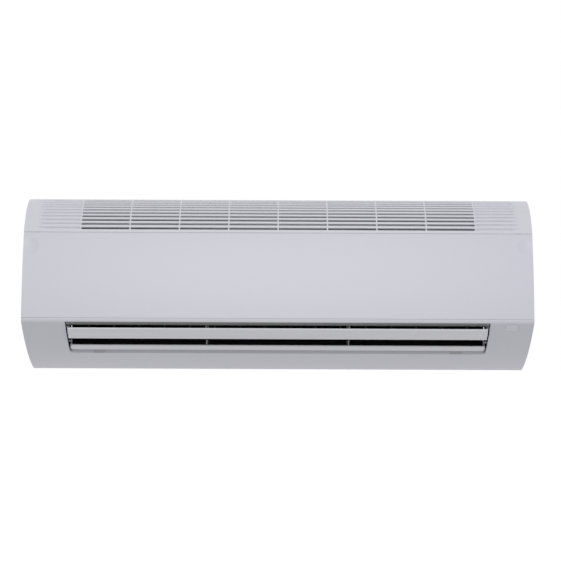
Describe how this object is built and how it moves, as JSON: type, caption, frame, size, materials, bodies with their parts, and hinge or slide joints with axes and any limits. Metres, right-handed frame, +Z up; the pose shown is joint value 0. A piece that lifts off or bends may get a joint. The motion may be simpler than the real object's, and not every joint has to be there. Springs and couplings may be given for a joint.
{
  "type": "air conditioner indoor unit",
  "caption": "Wall-mounted split air conditioner indoor unit: white casing with hinged front panel, slotted top grille, swinging louvres, cross-flow fan and coil.",
  "frame": {"origin": "centre of the wall plate's four screw holes, on the wall plane", "axes": "+X along the width to the right seen from the front, +Y into the wall, +Z up"},
  "size_m": [0.8, 0.188, 0.275],
  "materials": {
    "casing_white": "fine satin moulded white plastic",
    "panel_white": "smooth semi-gloss white plastic",
    "louvre_white": "satin white plastic",
    "cap_grey": "satin light grey plastic",
    "window_grey": "translucent light grey plastic",
    "chassis_dark": "matte dark moulded plastic",
    "carrier_grey": "matte grey moulded plastic",
    "vane_plastic": "matte dark plastic",
    "fin_aluminium": "coated aluminium fins",
    "copper": "drawn copper tube",
    "brass": "turned brass",
    "zinc_plate": "galvanised sheet",
    "steel": "plated steel",
    "bush": "sintered bronze",
    "rubber": "moulded rubber",
    "board_green": "coated circuit board",
    "box_plastic": "moulded plastic",
    "filter_net": "fine woven net",
    "filter_frame": "moulded plastic",
    "fan_plastic": "moulded plastic"
  },
  "bodies": {
    "unit": {"wall_plate": "zinc_plate", "rear_chassis": "chassis_dark", "front_frame": "casing_white", "receiver_window": "window_grey", "screw_caps": "cap_grey", "frame_screws": "steel", "drain_pan": "chassis_dark", "drain_spigot": "chassis_dark", "vane_carrier": "carrier_grey", "fins_low": "fin_aluminium", "fins_high": "fin_aluminium", "fins_rear": "fin_aluminium", "coil_end_plates": "zinc_plate", "coil_tube": "copper", "liquid_pipe": "copper", "liquid_union": "brass", "suction_pipe": "copper", "suction_union": "brass", "fan_motor": "steel", "motor_clamp": "zinc_plate", "clamp_screws": "steel", "fan_bush": "bush", "bearing_mount": "rubber", "louvre_motor": "steel", "control_box": "box_plastic", "control_cover": "zinc_plate", "circuit_board": "board_green", "board_parts": "box_plastic", "terminal_block": "box_plastic", "display_board": "board_green"},
    "front_panel": {"front_panel": "panel_white", "hinge_pins": "steel"},
    "filter_left": {"filter_left": "filter_frame", "filter_left_net": "filter_net"},
    "filter_right": {"filter_right": "filter_frame", "filter_right_net": "filter_net"},
    "fan": {"fan_rotor": "fan_plastic", "fan_shaft": "steel"},
    "upper_louvre": {"upper_louvre": "louvre_white"},
    "lower_louvre": {"lower_louvre": "louvre_white"},
    "louvre_link": {"louvre_link": "louvre_white"},
    "manual_button": {"manual_button": "louvre_white"},
    "tie_bar_left": {"tie_bar_left": "vane_plastic"},
    "tie_bar_right": {"tie_bar_right": "vane_plastic"},
    "vane_left_1": {"vane_left_1": "vane_plastic"},
    "vane_left_2": {"vane_left_2": "vane_plastic"},
    "vane_left_3": {"vane_left_3": "vane_plastic"},
    "vane_left_4": {"vane_left_4": "vane_plastic"},
    "vane_left_5": {"vane_left_5": "vane_plastic"},
    "vane_left_6": {"vane_left_6": "vane_plastic"},
    "vane_left_7": {"vane_left_7": "vane_plastic"},
    "vane_left_8": {"vane_left_8": "vane_plastic"},
    "vane_right_1": {"vane_right_1": "vane_plastic"},
    "vane_right_2": {"vane_right_2": "vane_plastic"},
    "vane_right_3": {"vane_right_3": "vane_plastic"},
    "vane_right_4": {"vane_right_4": "vane_plastic"},
    "vane_right_5": {"vane_right_5": "vane_plastic"},
    "vane_right_6": {"vane_right_6": "vane_plastic"},
    "vane_right_7": {"vane_right_7": "vane_plastic"},
    "vane_right_8": {"vane_right_8": "vane_plastic"}
  },
  "joints": [
    {"name": "panel_hinge", "type": "hinge", "parent": "unit", "child": "front_panel", "pos_m": [0, -0.14979, 0.08064], "axis": [-1, 0, 0], "range_deg": [0, 65]},
    {"name": "filter_left_lift", "type": "hinge", "parent": "unit", "child": "filter_left", "pos_m": [0, 0.35701, -0.12752], "axis": [-1, 0, 0], "range_deg": [0, 2.1]},
    {"name": "filter_right_lift", "type": "hinge", "parent": "unit", "child": "filter_right", "pos_m": [0, 0.35701, -0.12752], "axis": [-1, 0, 0], "range_deg": [0, 2.1]},
    {"name": "fan_spin", "type": "hinge", "parent": "unit", "child": "fan", "pos_m": [0, -0.084, -0.012], "axis": [1, 0, 0], "continuous": true},
    {"name": "upper_louvre_swing", "type": "hinge", "parent": "unit", "child": "upper_louvre", "pos_m": [0, -0.15824, -0.06542], "axis": [1, 0, 0], "range_deg": [0, 60]},
    {"name": "lower_louvre_swing", "type": "hinge", "parent": "unit", "child": "lower_louvre", "pos_m": [0, -0.10866, -0.08937], "axis": [1, 0, 0], "range_deg": [0, 60]},
    {"name": "louvre_link_turn", "type": "hinge", "parent": "upper_louvre", "child": "louvre_link", "pos_m": [0.331, -0.15163, -0.06093], "axis": [1, 0, 0], "range_deg": [-60, 0]},
    {"name": "button_press", "type": "slide", "parent": "unit", "child": "manual_button", "axis": [0, 0.9834, -0.1812], "range_m": [0, 0.0015]},
    {"name": "vane_left_1_swing", "type": "hinge", "parent": "unit", "child": "vane_left_1", "pos_m": [-0.02, -0.13, -0.068], "axis": [0, 0, 1], "range_deg": [-30, 30]},
    {"name": "vane_left_2_swing", "type": "hinge", "parent": "unit", "child": "vane_left_2", "pos_m": [-0.06, -0.13, -0.068], "axis": [0, 0, 1], "range_deg": [-30, 30]},
    {"name": "vane_left_3_swing", "type": "hinge", "parent": "unit", "child": "vane_left_3", "pos_m": [-0.1, -0.13, -0.068], "axis": [0, 0, 1], "range_deg": [-30, 30]},
    {"name": "vane_left_4_swing", "type": "hinge", "parent": "unit", "child": "vane_left_4", "pos_m": [-0.14, -0.13, -0.068], "axis": [0, 0, 1], "range_deg": [-30, 30]},
    {"name": "vane_left_5_swing", "type": "hinge", "parent": "unit", "child": "vane_left_5", "pos_m": [-0.18, -0.13, -0.068], "axis": [0, 0, 1], "range_deg": [-30, 30]},
    {"name": "vane_left_6_swing", "type": "hinge", "parent": "unit", "child": "vane_left_6", "pos_m": [-0.22, -0.13, -0.068], "axis": [0, 0, 1], "range_deg": [-30, 30]},
    {"name": "vane_left_7_swing", "type": "hinge", "parent": "unit", "child": "vane_left_7", "pos_m": [-0.26, -0.13, -0.068], "axis": [0, 0, 1], "range_deg": [-30, 30]},
    {"name": "vane_left_8_swing", "type": "hinge", "parent": "unit", "child": "vane_left_8", "pos_m": [-0.3, -0.13, -0.068], "axis": [0, 0, 1], "range_deg": [-30, 30]},
    {"name": "tie_bar_left_turn", "type": "hinge", "parent": "vane_left_4", "child": "tie_bar_left", "pos_m": [-0.14, -0.109, -0.057], "axis": [0, 0, 1], "range_deg": [-30, 30]},
    {"name": "vane_right_1_swing", "type": "hinge", "parent": "unit", "child": "vane_right_1", "pos_m": [0.02, -0.13, -0.068], "axis": [0, 0, 1], "range_deg": [-30, 30]},
    {"name": "vane_right_2_swing", "type": "hinge", "parent": "unit", "child": "vane_right_2", "pos_m": [0.06, -0.13, -0.068], "axis": [0, 0, 1], "range_deg": [-30, 30]},
    {"name": "vane_right_3_swing", "type": "hinge", "parent": "unit", "child": "vane_right_3", "pos_m": [0.1, -0.13, -0.068], "axis": [0, 0, 1], "range_deg": [-30, 30]},
    {"name": "vane_right_4_swing", "type": "hinge", "parent": "unit", "child": "vane_right_4", "pos_m": [0.14, -0.13, -0.068], "axis": [0, 0, 1], "range_deg": [-30, 30]},
    {"name": "vane_right_5_swing", "type": "hinge", "parent": "unit", "child": "vane_right_5", "pos_m": [0.18, -0.13, -0.068], "axis": [0, 0, 1], "range_deg": [-30, 30]},
    {"name": "vane_right_6_swing", "type": "hinge", "parent": "unit", "child": "vane_right_6", "pos_m": [0.22, -0.13, -0.068], "axis": [0, 0, 1], "range_deg": [-30, 30]},
    {"name": "vane_right_7_swing", "type": "hinge", "parent": "unit", "child": "vane_right_7", "pos_m": [0.26, -0.13, -0.068], "axis": [0, 0, 1], "range_deg": [-30, 30]},
    {"name": "vane_right_8_swing", "type": "hinge", "parent": "unit", "child": "vane_right_8", "pos_m": [0.3, -0.13, -0.068], "axis": [0, 0, 1], "range_deg": [-30, 30]},
    {"name": "tie_bar_right_turn", "type": "hinge", "parent": "vane_right_4", "child": "tie_bar_right", "pos_m": [0.14, -0.109, -0.057], "axis": [0, 0, 1], "range_deg": [-30, 30]}
  ],
  "couplings": [
    {"joint": "lower_louvre_swing", "follows": "upper_louvre_swing", "ratio": 1},
    {"joint": "louvre_link_turn", "follows": "upper_louvre_swing", "ratio": -1},
    {"joint": "vane_left_1_swing", "follows": "vane_left_4_swing", "ratio": 1},
    {"joint": "vane_left_2_swing", "follows": "vane_left_4_swing", "ratio": 1},
    {"joint": "vane_left_3_swing", "follows": "vane_left_4_swing", "ratio": 1},
    {"joint": "vane_left_5_swing", "follows": "vane_left_4_swing", "ratio": 1},
    {"joint": "vane_left_6_swing", "follows": "vane_left_4_swing", "ratio": 1},
    {"joint": "vane_left_7_swing", "follows": "vane_left_4_swing", "ratio": 1},
    {"joint": "vane_left_8_swing", "follows": "vane_left_4_swing", "ratio": 1},
    {"joint": "tie_bar_left_turn", "follows": "vane_left_4_swing", "ratio": -1},
    {"joint": "vane_right_1_swing", "follows": "vane_right_4_swing", "ratio": 1},
    {"joint": "vane_right_2_swing", "follows": "vane_right_4_swing", "ratio": 1},
    {"joint": "vane_right_3_swing", "follows": "vane_right_4_swing", "ratio": 1},
    {"joint": "vane_right_5_swing", "follows": "vane_right_4_swing", "ratio": 1},
    {"joint": "vane_right_6_swing", "follows": "vane_right_4_swing", "ratio": 1},
    {"joint": "vane_right_7_swing", "follows": "vane_right_4_swing", "ratio": 1},
    {"joint": "vane_right_8_swing", "follows": "vane_right_4_swing", "ratio": 1},
    {"joint": "tie_bar_right_turn", "follows": "vane_right_4_swing", "ratio": -1}
  ]
}
